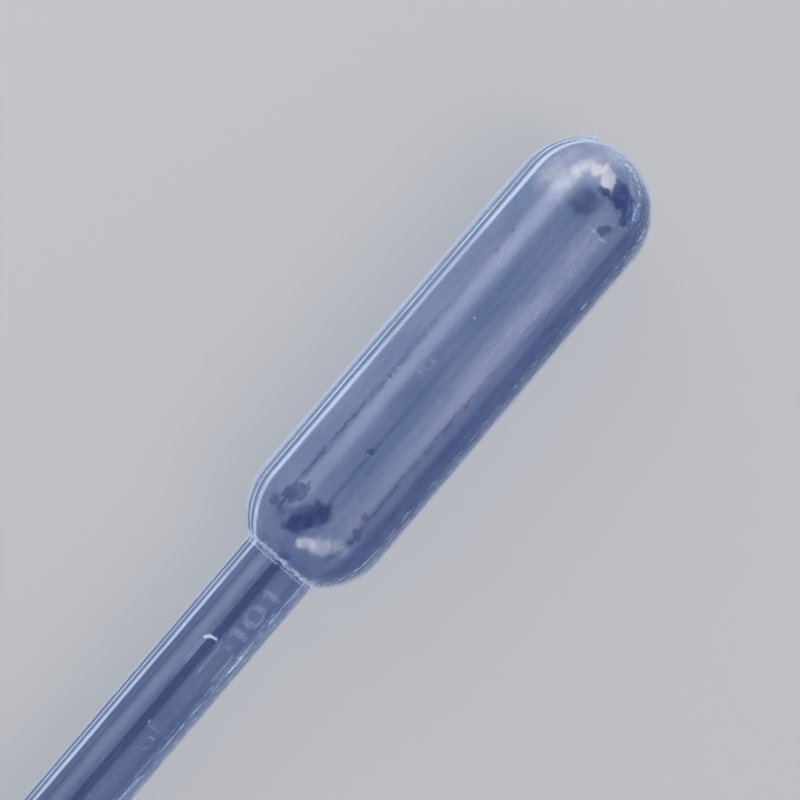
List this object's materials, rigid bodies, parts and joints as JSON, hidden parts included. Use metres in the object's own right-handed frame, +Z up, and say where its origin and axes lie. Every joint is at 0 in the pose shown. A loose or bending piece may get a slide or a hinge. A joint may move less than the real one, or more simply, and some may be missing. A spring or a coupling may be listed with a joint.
{
  "type": "plastic dropper pipette",
  "caption": "Translucent one-piece plastic dropper pipette with a long squeeze bulb, a straight graduated stem and a slender drawn tip, lying on its side.",
  "frame": {"origin": "centre of the part's box, on the bench that the pipette lies on", "axes": "+X towards the crown of the bulb, along the pipette as it lies; +Z up; the half-face with the marks looks up"},
  "size_m": [0.16, 0.0132, 0.0142],
  "materials": {
    "natural_polyethylene": "natural low-density polyethylene, translucent with a faint milky blue, satin gloss as blown"
  },
  "bodies": {
    "root": {"pipette": "natural_polyethylene"}
  },
  "joints": []
}
